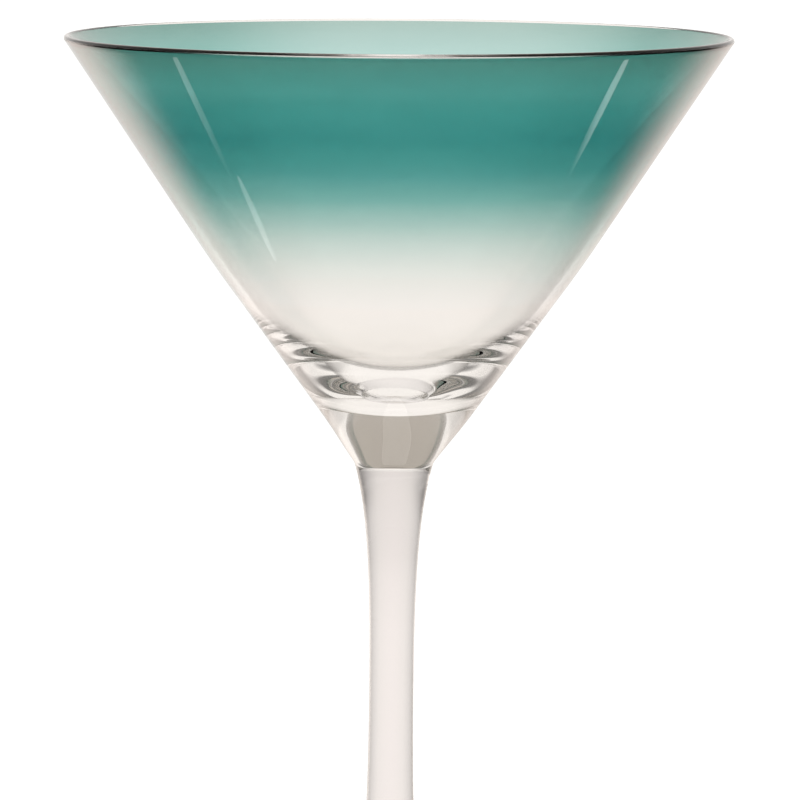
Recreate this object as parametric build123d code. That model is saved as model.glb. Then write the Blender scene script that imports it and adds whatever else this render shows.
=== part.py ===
# A martini glass in three fused pieces of clear glass, bowl, stem and foot,
# with a thin sprayed colour coat round the top of the bowl's outside.
# Millimetres. Z is the glass's axis, and z = 0 is the surface that the foot stands on.
import os
from math import asin, atan, cos, degrees, exp, radians, sin, sqrt, tan

from build123d import *

# Overall
overall_height = 170.0
rim_diameter = 116.0
foot_diameter = 78.0

# Bowl. Depths are measured down from the widest line of the lip, angles from upright.
lip_thickness = 1.0
upper_wall_angle = 33.6
lower_wall_angle = 36.05
wall_bend_radius = 190.0
base_wall_thickness = 2.0
cavity_depth = 61.6
cavity_floor_rise = 15.5
knuckle_radius = 3.2
joint_depth = 74.4

# Stem: its radius is the waist's, plus a swelling that dies away from each end.
joint_radius = 6.72
waist_radius = 3.69
neck_length = 11.1
flare_length = 14.0
foot_joint_radius = 6.1
foot_joint_height = 12.0
stem_outline_points = 17

# Foot
foot_edge_thickness = 2.2
foot_edge_round = 1.05
foot_top_slope = 5.5
foot_blend_radius = 8.5
rest_ring_width = 3.5
rest_ring_outer_inset = 1.5
underside_hollow = 1.8

# Colour coat
coat_thickness = 0.08
coat_depth = 45.0

# Worked out from the sizes above
lip_radius = lip_thickness / 2
lip_level = overall_height - lip_radius
joint_level = lip_level - joint_depth
neck_swell = joint_radius - waist_radius
foot_swell = foot_joint_radius - waist_radius


def outward(angle):
    """The unit vector square to a wall that leans out by angle, pointing out and down."""
    return Vector(cos(radians(angle)), -sin(radians(angle)))


def inward_run(angle):
    """The unit vector down a wall that leans out by angle. It nears the axis as it drops."""
    return Vector(-sin(radians(angle)), -cos(radians(angle)))


def meeting_point(start, direction, other_start, other_direction):
    """Where two straight lines in the section plane cross."""
    gap = other_start - start
    turn = direction.X * other_direction.Y - direction.Y * other_direction.X
    along = (gap.X * other_direction.Y - gap.Y * other_direction.X) / turn
    return start + direction * along


def stem_radius(height):
    """The stem's radius at a height above the table."""
    neck = neck_swell * exp((height - joint_level) / neck_length)
    flare = foot_swell * exp((foot_joint_height - height) / flare_length)
    return waist_radius + neck + flare


def stem_lean(height):
    """The angle from upright of the stem's side at a height, positive where it widens upwards."""
    neck = neck_swell / neck_length * exp((height - joint_level) / neck_length)
    flare = foot_swell / flare_length * exp((foot_joint_height - height) / flare_length)
    return degrees(atan(neck - flare))


def wall_line(offset):
    """The lip end, the bend and the knuckle end of the wall's outside, moved out by offset."""
    lip_centre = Vector(rim_diameter / 2 - lip_radius, lip_level)
    lip_end = lip_centre + outward(upper_wall_angle) * (lip_radius + offset)
    joint_edge = Vector(stem_radius(joint_level), joint_level)
    joint_lean = stem_lean(joint_level)
    knuckle_centre = joint_edge + outward(joint_lean) * knuckle_radius
    knuckle_end = knuckle_centre - outward(lower_wall_angle) * (knuckle_radius - offset)
    bend = meeting_point(
        lip_end,
        inward_run(upper_wall_angle),
        knuckle_end,
        inward_run(lower_wall_angle),
    )
    return lip_end, bend, knuckle_end


def revolved(outline_edges):
    """The solid that a closed outline in the XZ plane sweeps about the glass's axis."""
    section = Plane.XZ * make_face(outline_edges)
    return revolve(section, axis=Axis.Z)


def rounded_bend(start, corner, end, radius):
    """Two straight runs that meet at corner, joined by an arc tangent to both."""
    return FilletPolyline(start, corner, end, radius=radius)


def make_bowl():
    """The cone, with a full round lip, a rounded cavity bottom and solid glass below it."""
    lip_end, bend, knuckle_end = wall_line(0)
    lip_centre = Vector(rim_diameter / 2 - lip_radius, lip_level)
    lip_inner_end = lip_centre - outward(upper_wall_angle) * lip_radius
    lip_top = lip_centre + Vector(0, lip_radius)
    joint_edge = Vector(stem_radius(joint_level), joint_level)
    knuckle_lean = (stem_lean(joint_level) + lower_wall_angle) / 2
    knuckle_centre = joint_edge + outward(stem_lean(joint_level)) * knuckle_radius
    knuckle_middle = knuckle_centre - outward(knuckle_lean) * knuckle_radius

    # The cavity's wall nears the outside's bend at the middle thickness, and ends on the ellipse
    # that rounds its bottom.
    middle_thickness = (lip_thickness + base_wall_thickness) / 2
    cavity_bend = bend - outward((upper_wall_angle + lower_wall_angle) / 2) * middle_thickness
    cavity_low = knuckle_end - outward(lower_wall_angle) * base_wall_thickness
    cavity_run = (cavity_low - cavity_bend).normalized()
    cavity_bottom = rounded_bottom(cavity_bend, cavity_run)

    outline = [
        Line((0, joint_level), joint_edge),
        ThreePointArc(joint_edge, knuckle_middle, knuckle_end),
        rounded_bend(knuckle_end, bend, lip_end, wall_bend_radius),
        ThreePointArc(lip_end, lip_top, lip_inner_end),
        rounded_bend(lip_inner_end, cavity_bend, cavity_bottom @ 1, wall_bend_radius),
        cavity_bottom,
        Line(cavity_bottom @ 0, (0, joint_level)),
    ]
    return revolved(outline)


def rounded_bottom(wall_point, wall_run):
    """The part of an ellipse, centred on the axis, that rounds the cavity's bottom.

    It stands on the cavity's floor and ends tangent to the wall, cavity_floor_rise above it."""
    floor_level = lip_level - cavity_depth
    spread = wall_run.X / wall_run.Y
    wall_apex = wall_point.Y - wall_point.X / spread
    floor_above_apex = floor_level - wall_apex
    half_height = cavity_floor_rise * floor_above_apex / (floor_above_apex - cavity_floor_rise)
    centre_above_apex = floor_above_apex + half_height
    half_width = spread * sqrt(centre_above_apex**2 - half_height**2)
    end_angle = degrees(asin(half_height / centre_above_apex))
    return EllipticalCenterArc(
        (0, wall_apex + centre_above_apex),
        half_width,
        half_height,
        start_angle=-90,
        arc_size=90 - end_angle,
    )


def sphere_drop(radius, sphere_radius):
    """How far a sphere's surface falls away from its pole, at a distance from the axis."""
    return sphere_radius - (sphere_radius**2 - radius**2) ** 0.5


def make_stem():
    """The solid stem, drawn in to a waist, swelling to the bowl above and the foot below."""
    step = (joint_level - foot_joint_height) / (stem_outline_points - 1)
    heights = [foot_joint_height + step * i for i in range(stem_outline_points)]
    side_points = [Vector(stem_radius(height), height) for height in heights]
    end_tangents = [
        Vector(tan(radians(stem_lean(foot_joint_height))), 1),
        Vector(tan(radians(stem_lean(joint_level))), 1),
    ]
    outline = [
        Line((0, foot_joint_height), side_points[0]),
        Spline(*side_points, tangents=end_tangents),
        Line(side_points[-1], (0, joint_level)),
        Line((0, joint_level), (0, foot_joint_height)),
    ]
    return revolved(outline)


def make_foot():
    """The round foot: a gently sloped top that sweeps up to the stem, and a hollowed underside."""
    radius = foot_diameter / 2
    joint_edge = Vector(stem_radius(foot_joint_height), foot_joint_height)
    edge_top = Vector(radius, foot_edge_thickness)
    slope_corner = meeting_point(
        joint_edge,
        inward_run(stem_lean(foot_joint_height)),
        edge_top,
        Vector(-cos(radians(foot_top_slope)), sin(radians(foot_top_slope))),
    )
    rest_outer = radius - rest_ring_outer_inset
    rest_inner = rest_outer - rest_ring_width
    hollow_radius = (rest_inner**2 + underside_hollow**2) / (2 * underside_hollow)
    middle_drop = sphere_drop(rest_inner / 2, hollow_radius)
    hollow_middle = (rest_inner / 2, underside_hollow - middle_drop)
    outline = [
        Line((0, underside_hollow), (0, foot_joint_height)),
        Line((0, foot_joint_height), joint_edge),
        FilletPolyline(
            joint_edge,
            slope_corner,
            edge_top,
            (radius, 0),
            (rest_inner, 0),
            radius=[foot_blend_radius, foot_edge_round, foot_edge_round],
        ),
        ThreePointArc((rest_inner, 0), hollow_middle, (0, underside_hollow)),
    ]
    return revolved(outline)


def make_tint_coat():
    """The colour coat: a skin on the bowl's outside, from under the lip to past the wall's bend."""
    inner_top, inner_bend, inner_low = wall_line(0)
    outer_top, outer_bend, outer_low = wall_line(coat_thickness)
    run = inward_run(lower_wall_angle)
    low_level = lip_level - coat_depth
    inner_end = inner_bend + run * ((inner_bend.Y - low_level) / cos(radians(lower_wall_angle)))
    outer_end = inner_end + outward(lower_wall_angle) * coat_thickness
    outline = [
        rounded_bend(inner_top, inner_bend, inner_end, wall_bend_radius),
        Line(inner_end, outer_end),
        rounded_bend(outer_end, outer_bend, outer_top, wall_bend_radius + coat_thickness),
        Line(outer_top, inner_top),
    ]
    return revolved(outline)


makers = {
    "bowl": make_bowl,
    "stem": make_stem,
    "foot": make_foot,
    "tint_coat": make_tint_coat,
}

os.makedirs("parts", exist_ok=True)
for node, maker in makers.items():
    export_step(maker(), f"parts/{node}.step")
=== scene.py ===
import bpy
import numpy as np
from mathutils import Matrix, Vector


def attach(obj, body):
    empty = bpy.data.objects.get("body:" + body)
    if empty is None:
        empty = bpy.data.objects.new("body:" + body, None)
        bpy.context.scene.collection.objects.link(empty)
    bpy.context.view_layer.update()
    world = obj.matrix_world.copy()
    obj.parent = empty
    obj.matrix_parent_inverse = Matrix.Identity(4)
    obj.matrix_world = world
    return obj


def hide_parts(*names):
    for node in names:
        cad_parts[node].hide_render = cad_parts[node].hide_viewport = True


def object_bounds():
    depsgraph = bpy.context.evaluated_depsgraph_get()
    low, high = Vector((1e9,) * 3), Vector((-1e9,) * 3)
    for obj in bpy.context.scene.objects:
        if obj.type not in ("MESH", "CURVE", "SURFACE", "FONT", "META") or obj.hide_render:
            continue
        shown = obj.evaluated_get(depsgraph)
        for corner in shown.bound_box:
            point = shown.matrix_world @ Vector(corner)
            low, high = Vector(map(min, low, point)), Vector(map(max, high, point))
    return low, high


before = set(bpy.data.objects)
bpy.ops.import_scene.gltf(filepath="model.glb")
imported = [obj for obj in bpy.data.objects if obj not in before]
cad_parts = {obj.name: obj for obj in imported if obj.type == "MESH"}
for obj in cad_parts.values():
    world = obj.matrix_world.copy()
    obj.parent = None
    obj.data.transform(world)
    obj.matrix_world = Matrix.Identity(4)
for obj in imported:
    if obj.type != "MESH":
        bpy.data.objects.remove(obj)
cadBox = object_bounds()
print("loaded the packed glass:", sorted(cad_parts))

# A martini glass: bowl, stem and foot of clear glass, and a teal coat sprayed round the bowl's outside.
# Sizes are in mm, angles in degrees and heights are above the table, unless a note says otherwise.
mm = 0.001
glassHeight = cadBox[1].z / mm
rimRadius = cadBox[1].x / mm

# what the pieces share; depths are measured down from the lip's widest line
glassBody = {
    "refraction": 1.52,
    "lipThickness": 1.0,
    "jointDepth": 74.4,      # where the stem is fused to the bowl
    "jointRadius": 6.72,
    "columns": 256,          # of faces round the axis
    "wave": 0.012,           # how far hand finishing leaves a wall off true
    # share of that, waves round the wall, height for each radian of slant, and start
    "waves": ((1.0, 2, 17, 1), (0.6, 3, -11, 0), (0.4, 5, 6, 0)),
    "waveRadius": 6,         # the waves die away from here to the axis
    "crispFrom": 40,         # edges that turn more than this stay crisp
}
lipRadius = glassBody["lipThickness"] / 2
lipLevel = glassHeight - lipRadius
jointLevel = lipLevel - glassBody["jointDepth"]


def unit(v):
    # v divided by its own length
    return v / np.linalg.norm(v)


def squareOut(lean):
    # the unit vector square to a wall that leans out by lean, pointing out and down
    return np.array([np.cos(np.radians(lean)), -np.sin(np.radians(lean))])


def alongDown(lean):
    # the unit vector down that wall, towards the axis
    return np.array([-np.sin(np.radians(lean)), -np.cos(np.radians(lean))])


def crossing(start, run, otherStart, otherRun):
    # start + run * k, where k makes the two lines meet
    k = np.linalg.solve(np.stack([run, -otherRun], 1), otherStart - start)[0]
    return start + run * k


def arcRun(centre, radius, startAngle, endAngle, count):
    # centre plus radius times (cos a, sin a), a stepping evenly from start to end
    a = np.radians(np.linspace(startAngle, endAngle, count))
    return np.array(centre) + radius * np.stack([np.cos(a), np.sin(a)], 1)


def softCorner(before, corner, after, radius, count):
    # the arc tangent to both runs: it starts radius * tan(half the turn) before the corner
    before, corner, after = (np.array(p, float) for p in (before, corner, after))
    back, on = unit(before - corner), unit(after - corner)
    halfTurn = (np.pi - np.arccos(np.clip(back @ on, -1, 1))) / 2
    start = corner + back * radius * np.tan(halfTurn)
    centre = corner + unit(back + on) * radius / np.cos(halfTurn)
    spoke = start - centre
    side = unit(-back - (-back @ unit(spoke)) * unit(spoke)) * radius
    a = np.linspace(0, 2 * halfTurn, count)[:, None]
    return centre + spoke * np.cos(a) + side * np.sin(a)


def evenRun(start, end, count):
    # count points spaced evenly on the straight run from start to end, both ends left out
    t = np.linspace(0, 1, count + 2)[1:-1, None]
    return np.array(start) * (1 - t) + np.array(end) * t


def outlineOf(stretches, runRows):
    # joins arcs and single points, with runRows[i] extra points on the straight run after stretch i
    stretches = [np.atleast_2d(np.array(p, float)) for p in stretches]
    joined = []
    for i, stretch in enumerate(stretches):
        joined.append(stretch)
        if i + 1 < len(stretches) and runRows[i]:
            joined.append(evenRun(stretch[-1], stretches[i + 1][0], runRows[i]))
    return np.concatenate(joined)


def turned(name, outline, closed, bondedRows, materials):
    # the outline of (radius, height) swept about the axis: point (i, j) = (r_i cos t_j, r_i sin t_j, z_i),
    # moved sideways by the drift at its height; an open outline starts and ends on the axis, at one point
    # each, and a closed one joins its end to its start
    columns = glassBody["columns"]
    t = np.linspace(0, 2 * np.pi, columns, endpoint=False)
    r, z = outline[:, :1], outline[:, 1:]
    # the wall is off true by a hundredth or two, in long waves round and down it
    waves = sum(share * np.sin(around * t + z / rise + start)
                for share, around, rise, start in glassBody["waves"])
    radius = r + glassBody["wave"] * waves * np.minimum(1, r / glassBody["waveRadius"])
    level = np.broadcast_to(z, radius.shape)
    grid = np.stack([radius * np.cos(t) + drift(z), radius * np.sin(t), level], 2)

    first = 0 if closed else 1
    rows = grid[first:len(grid) - first]
    n = len(rows)
    points = rows.reshape(-1, 3)
    i, j = np.meshgrid(np.arange(n - first), np.arange(columns), indexing="ij")
    nextRow, nextColumn = (i + 1) % n, (j + 1) % columns
    quads = np.stack([i * columns + j, i * columns + nextColumn,
                      nextRow * columns + nextColumn, nextRow * columns + j], 2).reshape(-1, 4)
    faces = (first + quads).tolist()
    faceRow = first + i.reshape(-1)
    if not closed:
        # a fan of triangles from each end's point to the row beside it
        points = np.concatenate([grid[:1, 0], points, grid[-1:, 0]])
        k = np.arange(columns)
        following = (k + 1) % columns
        lastRow = 1 + (n - 1) * columns
        startFan = np.stack([np.zeros(columns, int), 1 + following, 1 + k], 1)
        endFan = np.stack([np.full(columns, len(points) - 1), lastRow + k, lastRow + following], 1)
        faces += startFan.tolist() + endFan.tolist()
        faceRow = np.concatenate([faceRow, np.zeros(columns, int), np.full(columns, n)])

    mesh = bpy.data.meshes.new(name)
    mesh.from_pydata((points * mm).tolist(), [], faces)
    for material in materials:
        mesh.materials.append(material)
    mesh.polygons.foreach_set("material_index", bondedRows[faceRow].astype(np.int32))
    mesh.polygons.foreach_set("use_smooth", np.ones(len(faces), bool))
    mesh.set_sharp_from_angle(angle=np.radians(glassBody["crispFrom"]))
    mesh.update()
    piece = bpy.data.objects.new(name, mesh)
    bpy.context.scene.collection.objects.link(piece)
    print(name, "turned:", len(faces), "faces")
    return piece


# makers for the nodes that the finishes and the room's light share
def feed(tree, socket, value):
    # another node's output is linked to the socket, a number or colour is set on it
    if isinstance(value, bpy.types.NodeSocket):
        tree.links.new(value, socket)
    elif isinstance(value, tuple):
        socket.default_value = (*value, 1)
    else:
        socket.default_value = value


def maths(tree, kind, *values):
    node = tree.nodes.new("ShaderNodeMath")
    node.operation = kind
    for socket, value in zip(node.inputs, values):
        feed(tree, socket, value)
    return node.outputs[0]


def between(tree, value, places, levels=(0.0, 1.0), kind="SMOOTHSTEP"):
    # the first level up to the first place, the second from the second on, and an even change between
    node = tree.nodes.new("ShaderNodeMapRange")
    node.interpolation_type = kind
    feed(tree, node.inputs["Value"], value)
    node.inputs["From Min"].default_value, node.inputs["From Max"].default_value = places
    node.inputs["To Min"].default_value, node.inputs["To Max"].default_value = levels
    return node.outputs["Result"]


def mixed(tree, share, a, b, kind="MIX"):
    # sockets 6, 7 and 2 are the node's own for two colours and their mix
    node = tree.nodes.new("ShaderNodeMix")
    node.data_type = "RGBA"
    node.blend_type = kind
    feed(tree, node.inputs["Factor"], share)
    feed(tree, node.inputs[6], a)
    feed(tree, node.inputs[7], b)
    return node.outputs[2]


def ramp(tree, shades, place, kind="LINEAR"):
    # colours at places from 0 to 1
    node = tree.nodes.new("ShaderNodeValToRGB")
    node.color_ramp.interpolation = kind
    marks = node.color_ramp.elements
    for i, (position, colour) in enumerate(shades):
        mark = marks[i] if i < 2 else marks.new(position)
        mark.position = position
        mark.color = (*colour, 1)
    feed(tree, node.inputs["Fac"], place)
    return node.outputs["Color"]


def scaled(tree, colour, factor):
    node = tree.nodes.new("ShaderNodeVectorMath")
    node.operation = "SCALE"
    feed(tree, node.inputs[0], colour)
    feed(tree, node.inputs["Scale"], factor)
    return node.outputs[0]


def raised(tree, colour, power):
    node = tree.nodes.new("ShaderNodeGamma")
    feed(tree, node.inputs["Color"], colour)
    feed(tree, node.inputs["Gamma"], power)
    return node.outputs["Color"]


def placeOn(tree, kind="Object"):
    return tree.nodes.new("ShaderNodeTexCoord").outputs[kind]


def split(tree, place):
    node = tree.nodes.new("ShaderNodeSeparateXYZ")
    feed(tree, node.inputs["Vector"], place)
    return [node.outputs[k] for k in "XYZ"]


def fromAxis(tree, x, y):
    # sqrt(x * x + y * y)
    squares = maths(tree, "ADD", maths(tree, "MULTIPLY", x, x), maths(tree, "MULTIPLY", y, y))
    return maths(tree, "SQRT", squares)


def towards(tree, x, y, turn):
    # how far a place lies in the direction turned clockwise from straight back: x sin turn + y cos turn
    sideways = maths(tree, "MULTIPLY", x, np.sin(turn))
    return maths(tree, "ADD", sideways, maths(tree, "MULTIPLY", y, np.cos(turn)))


def noiseOn(tree, place, stretch, scale, detail):
    spread = tree.nodes.new("ShaderNodeMapping")
    noise = tree.nodes.new("ShaderNodeTexNoise")
    spread.inputs["Scale"].default_value = stretch
    noise.inputs["Scale"].default_value = scale
    noise.inputs["Detail"].default_value = detail
    feed(tree, spread.inputs["Vector"], place)
    feed(tree, noise.inputs["Vector"], spread.outputs["Vector"])
    return noise.outputs["Fac"]


def faintRipple(tree, shader, place, ripple):
    # noise drawn out along the height, as a bump of about a thousandth
    noise = noiseOn(tree, place, ripple["stretch"], ripple["scale"], ripple["detail"])
    bump = tree.nodes.new("ShaderNodeBump")
    bump.inputs["Distance"].default_value = ripple["height"] * mm
    feed(tree, bump.inputs["Height"], noise)
    feed(tree, shader.inputs["Normal"], bump.outputs["Normal"])
    return noise


def edgeCosine(tree):
    # cosine of the angle between the wall and the light inside it: as it is from within,
    # and bent by the glass, sqrt(1 - (1 - c * c) / refraction squared), from without
    facing = tree.nodes.new("ShaderNodeLayerWeight")
    facing.inputs["Blend"].default_value = 0.5
    side = tree.nodes.new("ShaderNodeNewGeometry")
    cosine = maths(tree, "SUBTRACT", 1.0, facing.outputs["Facing"])
    sineSquare = maths(tree, "SUBTRACT", 1.0, maths(tree, "MULTIPLY", cosine, cosine))
    bentSquare = maths(tree, "DIVIDE", sineSquare, glassBody["refraction"] ** 2)
    bent = maths(tree, "SQRT", maths(tree, "SUBTRACT", 1.0, bentSquare))
    # sockets 2 and 3 are the node's own for two numbers
    pick = tree.nodes.new("ShaderNodeMix")
    feed(tree, pick.inputs["Factor"], side.outputs["Backfacing"])
    feed(tree, pick.inputs[2], bent)
    feed(tree, pick.inputs[3], cosine)
    return pick.outputs[0]


def newGlass(name, refraction):
    material = bpy.data.materials.new(name)
    material.use_nodes = True
    shader = material.node_tree.nodes["Principled BSDF"]
    shader.inputs["Base Color"].default_value = (1, 1, 1, 1)
    shader.inputs["Transmission Weight"].default_value = 1.0
    shader.inputs["Roughness"].default_value = 0.0
    shader.inputs["IOR"].default_value = refraction
    print(name, "mixed")
    return material, material.node_tree, shader


def bondedGlass():
    # where one glass is fused to another, or the coat lies on it, light goes straight on
    return newGlass("bondedGlass", 1.0)[0]


stemPiece = {
    "waist": 3.69,
    "neckLength": 11.1,      # over which the swelling to the bowl grows e times
    "flareLength": 14.0,     # and the swelling to the foot
    "footJointRadius": 6.1,
    "footJointHeight": 12.0,
    "offset": -0.5,          # the joint stands this far off the bowl's axis, along X
    "lean": 0.35,            # the stem leans, so that its foot stands further off
    "settle": 9.0,           # height of the bowl's solid base over which the offset grows
    "endGap": 0.01,          # left open at each fused joint
    "rows": {"side": 120, "cap": 4},
    # colour by the cosine at the surface, from grazing to square on: painted shade that darkens the rod
    # towards its outline, partly standing for the glass's absorption along slanted paths
    "shades": [(0.0, (0.50, 0.48, 0.465)), (0.775, (0.60, 0.585, 0.575)), (0.85, (0.72, 0.705, 0.70)),
               (0.93, (0.83, 0.81, 0.80)), (1.0, (0.875, 0.845, 0.84))],
    "shadeHeights": (66, 93),          # the rod darkens from the first height to the second
    "shadeLevels": (1.02, 0.915),
    "ripple": {"stretch": (1, 1, 0.45), "scale": 90, "detail": 1.5, "height": 0.0006},
}


def drift(z):
    # how far off the bowl's axis the glass stands: a smooth step over the solid base, then a straight lean
    s = stemPiece
    step = np.clip((jointLevel + s["settle"] - z) / s["settle"], 0, 1)
    return (s["offset"] * step * step * (3 - 2 * step)
            - np.tan(np.radians(s["lean"])) * np.maximum(jointLevel - z, 0))


def swellings(z):
    # what the neck and the flare add to the waist's radius: each dies away exponentially from its end
    s = stemPiece
    neck = (glassBody["jointRadius"] - s["waist"]) * np.exp((z - jointLevel) / s["neckLength"])
    flare = (s["footJointRadius"] - s["waist"]) * np.exp((s["footJointHeight"] - z) / s["flareLength"])
    return neck, flare


def stemRadius(z):
    # the waist plus both swellings
    neck, flare = swellings(z)
    return stemPiece["waist"] + neck + flare


def stemLean(z):
    # the side's angle from upright: the arc tangent of the swellings' slopes
    neck, flare = swellings(z)
    return np.degrees(np.arctan(neck / stemPiece["neckLength"] - flare / stemPiece["flareLength"]))


def stemGlass():
    material, tree, shader = newGlass("stemGlass", glassBody["refraction"])
    place = placeOn(tree)
    faintRipple(tree, shader, place, stemPiece["ripple"])
    height = split(tree, place)[2]
    heights = [h * mm for h in stemPiece["shadeHeights"]]
    level = between(tree, height, heights, stemPiece["shadeLevels"], "LINEAR")
    # painted shade: the ramp darkens the glass towards its outline, with some of the absorption of slanted
    # paths
    slantTintAndPaintedShade = ramp(tree, stemPiece["shades"], edgeCosine(tree))
    feed(tree, shader.inputs["Base Color"], scaled(tree, slantTintAndPaintedShade, level))
    return material


def makeStem(outerSkin, bonded):
    # the rod's radius by height, closed by a flat cap at each end
    s = stemPiece
    z = np.linspace(s["footJointHeight"] + s["endGap"], jointLevel - s["endGap"], s["rows"]["side"])
    side = np.stack([stemRadius(z), z], 1)
    cap = s["rows"]["cap"]
    outline = outlineOf([[0, z[0]], side, [0, z[-1]]], [cap, cap])
    row = np.arange(len(outline) - 1)
    bondedRows = (row <= cap) | (row >= len(row) - cap - 1)
    return turned("stemGlass", outline, False, bondedRows, [outerSkin, bonded])


bowlPiece = {
    "upperLean": 33.6,       # from upright
    "lowerLean": 36.05,
    "bendRadius": 190.0,
    "lowWall": 2.0,          # the wall's thickness where the solid base begins
    "cavityDepth": 61.6,
    "floorRise": 15.5,       # how far above its floor the cavity's wall starts to round
    "knuckleRadius": 3.2,
    "rows": {"cap": 8, "knuckle": 14, "lowRun": 40, "bend": 16, "highRun": 50, "lip": 37,
             "innerHigh": 40, "innerBend": 12, "innerLow": 12, "floor": 60},
    # colour by the cosine at the surface, from grazing to square on: painted shade that darkens the bowl and
    # foot towards their outline, partly standing for the glass's absorption along slanted paths
    "shades": [(0.0, (0.40, 0.39, 0.38)), (0.757, (0.44, 0.43, 0.42)), (0.765, (0.56, 0.55, 0.535)),
               (0.773, (0.70, 0.69, 0.675)), (0.79, (0.90, 0.89, 0.875)), (0.85, (0.985, 0.98, 0.965)),
               (0.92, (0.965, 0.96, 0.948)), (1.0, (0.96, 0.955, 0.945))],
    "solidHeights": (122, 106),        # the wall thickens to the solid base between these
    "densities": (0.9, 1.8),           # the colour's power above and below them, which also deepens the painted shade down the solid base
    "unevenness": 0.2,
    "ripple": {"stretch": (1, 1, 0.45), "scale": 60, "detail": 1.5, "height": 0.0009},
}


def clearGlass():
    # the thicker the glass, the denser: the painted edge shade to a power that grows down the solid base,
    # partly the thick glass's absorption and partly deeper painted shade, give or take a tenth with the
    # ripple's noise
    b = bowlPiece
    material, tree, shader = newGlass("clearGlass", glassBody["refraction"])
    place = placeOn(tree)
    noise = faintRipple(tree, shader, place, b["ripple"])
    height = split(tree, place)[2]
    density = between(tree, height, [h * mm for h in b["solidHeights"]], b["densities"])
    uneven = maths(tree, "ADD", density, maths(tree, "MULTIPLY", noise, b["unevenness"]))
    # painted shade: the ramp darkens the glass towards its outline, with some of the absorption of slanted
    # paths
    slantTintAndPaintedShade = ramp(tree, b["shades"], edgeCosine(tree))
    feed(tree, shader.inputs["Base Color"], raised(tree, slantTintAndPaintedShade, uneven))
    return material


def wallCorners():
    # the outside's lip end, bend and knuckle end, and the centres of the lip's and the knuckle's rounds
    b = bowlPiece
    lipCentre = np.array([rimRadius - lipRadius, lipLevel])
    lipEnd = lipCentre + squareOut(b["upperLean"]) * lipRadius
    jointEdge = np.array([stemRadius(jointLevel), jointLevel])
    knuckleCentre = jointEdge + squareOut(stemLean(jointLevel)) * b["knuckleRadius"]
    knuckleEnd = knuckleCentre - squareOut(b["lowerLean"]) * b["knuckleRadius"]
    bend = crossing(lipEnd, alongDown(b["upperLean"]), knuckleEnd, alongDown(b["lowerLean"]))
    return lipEnd, bend, knuckleEnd, lipCentre, knuckleCentre


def cavityFloor(wallPoint, wallRun):
    # part of an ellipse that stands on the cavity's floor and is tangent to the wall, floorRise above it
    floorLevel = lipLevel - bowlPiece["cavityDepth"]
    spread = wallRun[0] / wallRun[1]                 # radius lost for each mm of depth
    apex = wallPoint[1] - wallPoint[0] / spread      # where the wall would reach the axis
    below = floorLevel - apex
    high = bowlPiece["floorRise"] * below / (below - bowlPiece["floorRise"])
    wide = spread * np.sqrt((below + high) ** 2 - high**2)
    start = np.arcsin(high / (below + high))
    a = np.linspace(start, np.pi / 2, bowlPiece["rows"]["floor"])
    points = np.stack([wide * np.cos(a), floorLevel + high - high * np.sin(a)], 1)
    points[-1, 0] = 0
    return points


def outsideWall():
    # the wall's outside from the knuckle's end up to the lip: run, bend arc, run
    rows = bowlPiece["rows"]
    lipEnd, bend, knuckleEnd = wallCorners()[:3]
    arc = softCorner(knuckleEnd, bend, lipEnd, bowlPiece["bendRadius"], rows["bend"])
    return outlineOf([knuckleEnd, arc, lipEnd], [rows["lowRun"], rows["highRun"]])


def lipArc():
    # the full round lip, from where the outside ends, over the crown, to the inside
    lipCentre = wallCorners()[3]
    lean = bowlPiece["upperLean"]
    return arcRun(lipCentre, lipRadius, -lean, 180 - lean, bowlPiece["rows"]["lip"])


def makeBowl(outerSkin, bonded):
    # fused face, knuckle arc, outside wall, round lip, then inside wall and cavity floor down to the axis
    b, rows = bowlPiece, bowlPiece["rows"]
    lipEnd, bend, knuckleEnd, lipCentre, knuckleCentre = wallCorners()
    middleWall = (glassBody["lipThickness"] + b["lowWall"]) / 2
    cavityBend = bend - squareOut((b["upperLean"] + b["lowerLean"]) / 2) * middleWall
    wallRun = unit(knuckleEnd - squareOut(b["lowerLean"]) * b["lowWall"] - cavityBend)
    rounded = cavityFloor(cavityBend, wallRun)
    lipInner = lipCentre - squareOut(b["upperLean"]) * lipRadius
    innerBend = softCorner(lipInner, cavityBend, rounded[0], b["bendRadius"], rows["innerBend"])
    knuckle = arcRun(knuckleCentre, b["knuckleRadius"], 180 - stemLean(jointLevel),
                     180 - b["lowerLean"], rows["knuckle"])
    jointEdge = np.array([stemRadius(jointLevel), jointLevel])
    stretches = [[0, jointLevel], jointEdge, knuckle[1:-1], outsideWall(), lipArc()[1:], innerBend, rounded]
    outline = outlineOf(stretches, [rows["cap"], 0, 0, 0, rows["innerHigh"], rows["innerLow"], 0])
    # the first rows are the fused face; those from the coat's low edge to its last on the lip are under it
    row = np.arange(len(outline) - 1)
    lowEnd = np.minimum(outline[:-1, 1], outline[1:, 1])
    lipStart = np.argmin(np.linalg.norm(outline - lipEnd, axis=1))
    underCoat = (row > rows["cap"]) & (row < lipStart + coatPiece["lipRows"])
    underCoat &= lowEnd > lipLevel - coatPiece["depth"]
    bondedRows = (row <= rows["cap"]) | underCoat
    return turned("bowlGlass", outline, False, bondedRows, [outerSkin, bonded])


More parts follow.
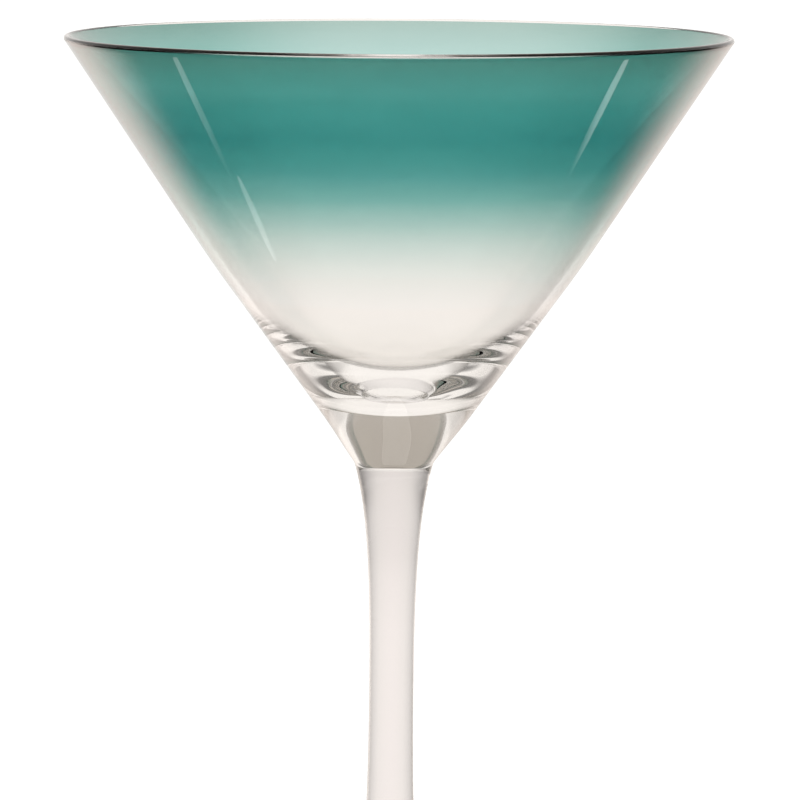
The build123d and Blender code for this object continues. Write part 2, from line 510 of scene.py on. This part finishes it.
coatPiece = {
    "thickness": 0.06,
    "gap": 0.012,            # between the bowl and the coat's inside
    "depth": 44.5,
    "feather": 12.0,         # the coat thins out over this at its low edge
    "thinnest": 0.1,         # share of the thickness left there and on the crown
    "lipRows": 4,            # rows of the round lip, counted from outside, that the spray reached
    # colour let through by one pass of the wall, at depths under the lip
    "through": [(0, (0.262, 0.45, 0.415)), (6.5, (0.34, 0.625, 0.60)), (10, (0.275, 0.605, 0.585)),
                (15, (0.192, 0.53, 0.518)), (20.5, (0.226, 0.552, 0.545)), (25, (0.345, 0.63, 0.61)),
                (29.2, (0.545, 0.735, 0.715)), (33.3, (0.735, 0.845, 0.83)), (37.5, (0.855, 0.91, 0.895)),
                (41.6, (0.94, 0.96, 0.955)), (45.5, (1, 1, 1))],
    "throughReach": 46,      # depth at the end of that ramp
    "steepest": 0.3,         # the least cosine that the slant is reckoned with
    # painted shade by the cosine at the surface, from grazing to square on: it darkens the coat towards the
    # bowl's outline
    "paintedLimbShade": [(0.0, 0.30), (0.757, 0.36), (0.765, 0.52), (0.775, 0.74), (0.79, 0.92), (0.83, 1), (1.0, 1)],
    # one thin place at the back: degrees right of straight back, cosines of the turn away from its middle
    # and depths between which it grows, and the share of the spray that it lacks
    "thinPatch": {"turn": 8, "cosines": (0.66, 0.98), "depths": (8.0, 5.5), "lost": 0.38},
    "mottle": {"stretch": (1, 1, 3.5), "scale": 70, "detail": 3, "share": 0.14},
}


def sprayDensity(tree, place):
    # how much of the spray lies at a place: thin in one patch under the lip, and in faint level bands
    patch, mottle = coatPiece["thinPatch"], coatPiece["mottle"]
    x, y, z = split(tree, place)
    toPatch = towards(tree, x, y, np.radians(patch["turn"]))
    beside = between(tree, maths(tree, "DIVIDE", toPatch, fromAxis(tree, x, y)), patch["cosines"])
    under = between(tree, z, [(lipLevel - d) * mm for d in patch["depths"]])
    lost = maths(tree, "MULTIPLY", maths(tree, "MULTIPLY", beside, under), patch["lost"])
    noise = noiseOn(tree, place, mottle["stretch"], mottle["scale"], mottle["detail"])
    uneven = maths(tree, "ADD", 1 - mottle["share"] / 2, maths(tree, "MULTIPLY", noise, mottle["share"]))
    return maths(tree, "MULTIPLY", maths(tree, "SUBTRACT", 1.0, lost), uneven)


def tealCoat():
    # the colour by depth, squared because the shader tints each crossing by the root of its colour,
    # then to the power density / cosine, as light that crosses the coat at a slant meets more of it
    c = coatPiece
    material, tree, shader = newGlass("tealCoat", glassBody["refraction"])
    place = placeOn(tree)
    ends = lipLevel * mm, (lipLevel - c["throughReach"]) * mm
    down = between(tree, split(tree, place)[2], ends, kind="LINEAR")
    squared = [(depth / c["throughReach"], tuple(v * v for v in colour)) for depth, colour in c["through"]]
    cosine = edgeCosine(tree)
    slope = maths(tree, "MAXIMUM", cosine, c["steepest"])
    slant = maths(tree, "DIVIDE", sprayDensity(tree, place), slope)
    colour = raised(tree, ramp(tree, squared, down), slant)
    # and painted shade darkens it towards the bowl's outline
    paintedLimbShade = ramp(tree, [(place, (grey, grey, grey)) for place, grey in c["paintedLimbShade"]], cosine)
    feed(tree, shader.inputs["Base Color"], mixed(tree, 1.0, colour, paintedLimbShade, "MULTIPLY"))
    return material


def makeCoat(coat, bonded):
    # the outside wall and the lip's first rows, moved out by the gap, and again by the thickness
    c = coatPiece
    overLip = lipArc()[1:c["lipRows"] + 1]
    wall = outsideWall()
    wall = np.concatenate([wall[wall[:, 1] > lipLevel - c["depth"]], overLip])
    run = np.gradient(wall, axis=0)
    out = np.stack([run[:, 1], -run[:, 0]], 1) / np.linalg.norm(run, axis=1)[:, None]
    # full thickness over most of the coat, and a smooth step down to the thinnest at both ends
    low = np.clip((wall[:, 1] - wall[0, 1]) / c["feather"], 0, 1)
    top = np.clip((len(wall) - 1 - np.arange(len(wall))) / len(overLip), 0, 1)
    t = np.minimum(low, top)
    share = c["thinnest"] + (1 - c["thinnest"]) * t * t * (3 - 2 * t)
    reach = c["gap"] + (c["thickness"] - c["gap"]) * share
    inner = wall + out * c["gap"]
    outer = wall + out * reach[:, None]
    outline = np.concatenate([inner[::-1], outer])
    bondedRows = np.arange(len(outline)) < len(inner) - 1
    return turned("tintCoat", outline, True, bondedRows, [coat, bonded])


footPiece = {
    "diameter": 78.0,
    "edgeThickness": 2.2,
    "edgeRound": 1.05,
    "topSlope": 5.5,         # from level
    "blendRadius": 8.5,
    "ringWidth": 3.5,        # the flat ring that it rests on
    "ringInset": 1.5,
    "hollow": 1.8,
    "rows": {"under": 24, "ring": 2, "edge": 10, "slope": 20, "blend": 24, "neck": 2, "cap": 4},
}


def makeFoot(outerSkin, bonded):
    # a shallow sphere's cap underneath, the resting ring, the rounded edge, the slope and its sweep up
    f, rows = footPiece, footPiece["rows"]
    radius = f["diameter"] / 2
    joint = stemPiece["footJointHeight"]
    jointEdge = np.array([stemRadius(joint), joint])
    edgeTop = np.array([radius, f["edgeThickness"]])
    slope = np.radians(f["topSlope"])
    slopeRun = np.array([-np.cos(slope), np.sin(slope)])
    slopeCorner = crossing(jointEdge, alongDown(stemLean(joint)), edgeTop, slopeRun)
    ringIn = radius - f["ringInset"] - f["ringWidth"]
    sphere = (ringIn**2 + f["hollow"]**2) / (2 * f["hollow"])
    r = np.linspace(0, ringIn, rows["under"])
    under = np.stack([r, f["hollow"] - (sphere - np.sqrt(sphere**2 - r**2))], 1)
    bottomRound = softCorner([ringIn, 0], [radius, 0], edgeTop, f["edgeRound"], rows["edge"])
    topRound = softCorner([radius, 0], edgeTop, slopeCorner, f["edgeRound"], rows["edge"])
    blendUp = softCorner(edgeTop, slopeCorner, jointEdge, f["blendRadius"], rows["blend"])
    outline = outlineOf([under, bottomRound, topRound, blendUp, jointEdge, [0, joint]],
                        [rows["ring"], 0, rows["slope"], rows["neck"], rows["cap"]])
    row = np.arange(len(outline) - 1)
    bondedRows = row >= len(row) - rows["cap"] - 1
    return turned("footGlass", outline, False, bondedRows, [outerSkin, bonded])


clear, bonded, teal, rod = clearGlass(), bondedGlass(), tealCoat(), stemGlass()
bowl = makeBowl(clear, bonded)
stem = makeStem(rod, bonded)
foot = makeFoot(clear, bonded)
coat = makeCoat(teal, bonded)
for piece, node, slot in ((bowl, "bowl", "clear_glass"), (stem, "stem", "clear_glass"),
                          (foot, "foot", "clear_glass"), (coat, "tint_coat", "colour_coat")):
    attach(piece, "root")
    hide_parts(node)
print("glass, coat and their finishes in place")


# soft light, brightest straight behind the glass; a fade's pairs are degrees off its middle and the level
room = {
    "plain": (1.12, 1.12, 1.11),       # what stands behind the glass, seen directly
    "through": (1.07, 1.025, 0.99),    # the same, seen through glass
    "fade": [(0, 1.0), (20, 0.97), (34, 0.80), (50, 0.62), (65, 0.46), (80, 0.33), (100, 0.25), (130, 0.2),
             (180, 0.2)],
    "horizon": (1, 9),                 # degrees above or below it, over which the fade comes in
    "above": (0.47, 0.425, 0.375),
    "aboveFrom": (28, 45),             # degrees up
    "below": (0.64, 0.60, 0.57),       # straight down, for light turned back inside the glass
    "belowFrom": (60, 80),             # degrees down
    "table": (1.0, 0.90, 0.835),       # the pale sweep that the outer skin mirrors from below the horizon
    "tableFrom": (1, 6),               # degrees down
    "tableFade": [(0, 0.95), (10, 1.1), (16, 1.36), (22, 1.6), (28, 1.68), (33, 1.5), (38, 1.15),
                  (42.5, 0.72), (47.5, 0.27), (51.5, 0.07), (60, 0.04), (90, 0.09), (180, 0.1)],
    "tableTurn": 2.4,                  # degrees that its middle lies left of straight behind
    "tableTilt": 0.35,                 # how much brighter it is on that side
    "tableMiddle": (1.0, 0.98, 0.95),
    "tableMiddleTo": (6, 18),          # degrees from its middle, over which that colour ends
    "bounces": 96,                     # of light; fewer leave black patches in the solid base
}


def fadeRamp(tree, away, fade):
    # brightness by angle, smoothed through the listed levels; levels above 1 are halved in and doubled out
    halved = [(degreesAway / 180, (level / 2, level / 2, level / 2)) for degreesAway, level in fade]
    return scaled(tree, ramp(tree, halved, away, "B_SPLINE"), 2.0)


def sines(angles):
    return [np.sin(np.radians(angle)) for angle in angles]


def degreesOff(tree, sideways, flat):
    # the angle between a level direction and the one that sideways is measured along, as a share of 180
    cosine = maths(tree, "DIVIDE", sideways, maths(tree, "MAXIMUM", flat, 0.001))
    inside = maths(tree, "MINIMUM", maths(tree, "MAXIMUM", cosine, -1.0), 1.0)
    return maths(tree, "DIVIDE", maths(tree, "ARCCOSINE", inside), np.pi)


def aroundLight(tree, y, z, flat):
    # the ring of light round the glass, the ceiling above it and the dimmer ground below it
    fading = fadeRamp(tree, degreesOff(tree, y, flat), room["fade"])
    around = mixed(tree, 1.0, fading, room["through"], "MULTIPLY")
    # near the horizon the sides are as bright as the back, to meet the floor's far edge
    offHorizon = between(tree, maths(tree, "ABSOLUTE", z), sines(room["horizon"]))
    level = mixed(tree, offHorizon, room["through"], around)
    upper = mixed(tree, between(tree, z, sines(room["aboveFrom"])), level, room["above"])
    down = maths(tree, "MULTIPLY", z, -1.0)
    return mixed(tree, between(tree, down, sines(room["belowFrom"])), upper, room["below"])


def tableLight(tree, x, y, flat):
    # the mirrored sweep: brightest some way to each side of its middle, dark past 50 degrees, and tilted
    # to be brighter on the left
    toTable = towards(tree, x, y, -np.radians(room["tableTurn"]))
    away = degreesOff(tree, toTable, flat)
    offMiddle = between(tree, away, [d / 180 for d in room["tableMiddleTo"]])
    colour = mixed(tree, offMiddle, room["tableMiddle"], room["table"])
    table = mixed(tree, 1.0, fadeRamp(tree, away, room["tableFade"]), colour, "MULTIPLY")
    tilt = maths(tree, "SUBTRACT", 1.0, maths(tree, "MULTIPLY", x, room["tableTilt"]))
    return mixed(tree, 1.0, table, tilt, "MULTIPLY")


def makeWorld():
    world = bpy.data.worlds.new("room")
    bpy.context.scene.world = world
    world.use_nodes = True
    tree = world.node_tree
    x, y, z = split(tree, placeOn(tree, "Generated"))
    flat = fromAxis(tree, x, y)
    light = tree.nodes.new("ShaderNodeLightPath")
    # the first skin that light meets mirrors the table from below the horizon
    firstSkin = maths(tree, "LESS_THAN", light.outputs["Transmission Depth"], 0.5)
    low = between(tree, maths(tree, "MULTIPLY", z, -1.0), sines(room["tableFrom"]))
    mirrored = maths(tree, "MULTIPLY", firstSkin, low)
    colour = mixed(tree, mirrored, aroundLight(tree, y, z, flat), tableLight(tree, x, y, flat))
    background = tree.nodes["Background"]
    feed(tree, background.inputs["Color"], colour)
    plain = tree.nodes.new("ShaderNodeBackground")
    plain.inputs["Color"].default_value = (*room["plain"], 1)
    either = tree.nodes.new("ShaderNodeMixShader")
    feed(tree, either.inputs["Fac"], light.outputs["Is Camera Ray"])
    feed(tree, either.inputs[1], background.outputs[0])
    feed(tree, either.inputs[2], plain.outputs[0])
    feed(tree, tree.nodes["World Output"].inputs["Surface"], either.outputs[0])
    print("room lit")


# a pale floor; seen through glass it is dimmer to both sides. Lengths here are in metres
floorPiece = {
    "radius": 6.0,
    "edges": 96,
    "level": -0.0002,
    "colour": (0.02, 0.02, 0.02),
    "roughness": 0.9,
    "light": 0.985,          # of the room's through
    "flag": 0.24,            # share of that light left in the dim sides
    "flagTurn": (58, 80),    # degrees from straight behind, or in front, where they grow
    "flagStart": (0.06, 0.13),         # from the glass, where they start
    "flagReach": (0.22, 0.60),         # and where they end
}


def floorLight(tree):
    # the room's light, cut down where a place is beside the glass and within the flags' reach
    x, y, height = split(tree, placeOn(tree))
    reach = fromAxis(tree, x, y)
    ahead = maths(tree, "DIVIDE", maths(tree, "ABSOLUTE", y), maths(tree, "MAXIMUM", reach, 0.001))
    first, last = (np.cos(np.radians(angle)) for angle in floorPiece["flagTurn"])
    nearGlass = maths(tree, "SUBTRACT", 1.0, between(tree, reach, floorPiece["flagStart"]))
    offFlag = maths(tree, "ADD", between(tree, reach, floorPiece["flagReach"]), nearGlass)
    bright = maths(tree, "MAXIMUM", between(tree, ahead, (last, first)), offFlag)
    through = tuple(v * floorPiece["light"] for v in room["through"])
    flag = tuple(v * floorPiece["flag"] for v in through)
    light = tree.nodes.new("ShaderNodeLightPath")
    return mixed(tree, light.outputs["Is Camera Ray"], mixed(tree, bright, flag, through), room["plain"])


def makeFloor():
    # a disc of straight edges round the glass
    f = floorPiece
    t = np.linspace(0, 2 * np.pi, f["edges"], endpoint=False)
    ring = np.stack([f["radius"] * np.cos(t), f["radius"] * np.sin(t), np.full(f["edges"], f["level"])], 1)
    mesh = bpy.data.meshes.new("floor")
    mesh.from_pydata(ring.tolist(), [], [list(range(f["edges"]))])
    material = bpy.data.materials.new("paleFloor")
    material.use_nodes = True
    tree = material.node_tree
    shader = tree.nodes["Principled BSDF"]
    shader.inputs["Base Color"].default_value = (*f["colour"], 1)
    shader.inputs["Roughness"].default_value = f["roughness"]
    shader.inputs["Specular IOR Level"].default_value = 0.0
    shader.inputs["Emission Strength"].default_value = 1.0
    feed(tree, shader.inputs["Emission Color"], floorLight(tree))
    mesh.materials.append(material)
    floor = bpy.data.objects.new("floor", mesh)
    bpy.context.scene.collection.objects.link(floor)
    floor.visible_glossy = False
    print("floor laid")


cameraSetup = {
    "distance": 1.2,         # metres
    "rise": 3.1,             # above the rim's plane
    "roll": 0.32,
    "across": 0.1392,        # metres of glass that the frame's width takes in
    "rimDown": 0.0629,       # metres from the frame's middle up to the rim's plane
    "shift": 0.0036,         # share of the frame's width that the glass stands left of its middle
    "sensor": 36,
    "farthest": 50,          # metres
}
cameraRise = np.radians(cameraSetup["rise"])
cameraPlace = Vector((0, -cameraSetup["distance"] * np.cos(cameraRise),
                      lipLevel * mm + cameraSetup["distance"] * np.sin(cameraRise)))


def makeCamera():
    c = cameraSetup
    data = bpy.data.cameras.new("camera")
    camera = bpy.data.objects.new("camera", data)
    bpy.context.scene.collection.objects.link(camera)
    bpy.context.scene.camera = camera
    target = Vector((0, 0, lipLevel * mm - c["rimDown"]))
    look = (target - cameraPlace).normalized()
    turn = look.to_track_quat("-Z", "Y").to_matrix().to_4x4()
    roll = Matrix.Rotation(np.radians(c["roll"]), 4, "Z")
    camera.matrix_world = Matrix.Translation(cameraPlace) @ turn @ roll
    data.sensor_width = c["sensor"]
    data.lens = c["sensor"] * (target - cameraPlace).length / c["across"]
    data.shift_x = c["shift"]
    data.clip_end = c["farthest"]
    data.dof.use_dof = False
    print("camera set")


# small lamps that the bowl's outside mirrors as streaks: where on the wall each one's two ends show, as turns
# round from the front and depths, its width and brightness, and the shares of its length, from its low end,
# between which it brightens
streaks = {
    "leftHigh": {"turn": (-40.7, -40.1), "depth": (-1.0, 21.5), "wide": 22, "bright": 1.45,
                 "fade": (-0.15, 1.0)},
    "leftLow": {"turn": (-38.6, -37.1), "depth": (24.0, 36.5), "wide": 24, "bright": 1.3,
                "fade": (-0.2, 0.4)},
    "right": {"turn": (41.6, 40.3), "depth": (-1.0, 21.0), "wide": 22, "bright": 2.0,
              "fade": (-0.05, 0.65)},
}
streakDistance = 0.5         # metres from the wall to each lamp


def mirroredFrom(turn, depth):
    # the point that the wall shows at a spot: the sight line, turned back about the wall's normal
    a, lean = np.radians(turn), np.radians(bowlPiece["upperLean"])
    normal = Vector((np.sin(a) * np.cos(lean), -np.cos(a) * np.cos(lean), -np.sin(lean)))
    radius = (rimRadius - depth * np.tan(lean)) * mm
    spot = Vector((np.sin(a) * radius, -np.cos(a) * radius, (lipLevel - depth) * mm))
    sight = (spot - cameraPlace).normalized()
    return spot + (sight - 2 * sight.dot(normal) * normal) * streakDistance, spot


def makeStreak(name, wide, bright, fade, turn, depth):
    top, topSpot = mirroredFrom(turn[0], depth[0])
    end, endSpot = mirroredFrom(turn[1], depth[1])
    data = bpy.data.lights.new(name, "AREA")
    lamp = bpy.data.objects.new(name, data)
    bpy.context.scene.collection.objects.link(lamp)
    away = ((top + end) / 2 - (topSpot + endSpot) / 2).normalized()
    side = away.cross(top - end).normalized()
    up = away.cross(-side).normalized()
    facing = Matrix((side, up, away)).transposed().to_4x4()
    lamp.matrix_world = Matrix.Translation((top + end) / 2) @ facing
    data.shape = "ELLIPSE"
    data.size = wide * mm
    data.size_y = (top - end).length
    # the energy that gives a lamp its brightness is four times its area, pi / 4 * width * length
    data.energy = bright * np.pi * data.size * data.size_y
    data.use_nodes = True
    tree = data.node_tree
    place = tree.nodes.new("ShaderNodeNewGeometry").outputs["Parametric"]
    along = split(tree, place)[1]
    feed(tree, tree.nodes["Emission"].inputs["Strength"], between(tree, along, fade))
    lamp.visible_camera = False
    lamp.visible_diffuse = False
    lamp.visible_transmission = False


makeWorld()
makeFloor()
makeCamera()
for name, streak in streaks.items():
    makeStreak(name, **streak)
print("streak lamps hung:", sorted(streaks))

scene = bpy.context.scene
scene.view_settings.view_transform = "Standard"
scene.cycles.max_bounces = room["bounces"]
scene.cycles.transmission_bounces = room["bounces"]
scene.cycles.glossy_bounces = room["bounces"]
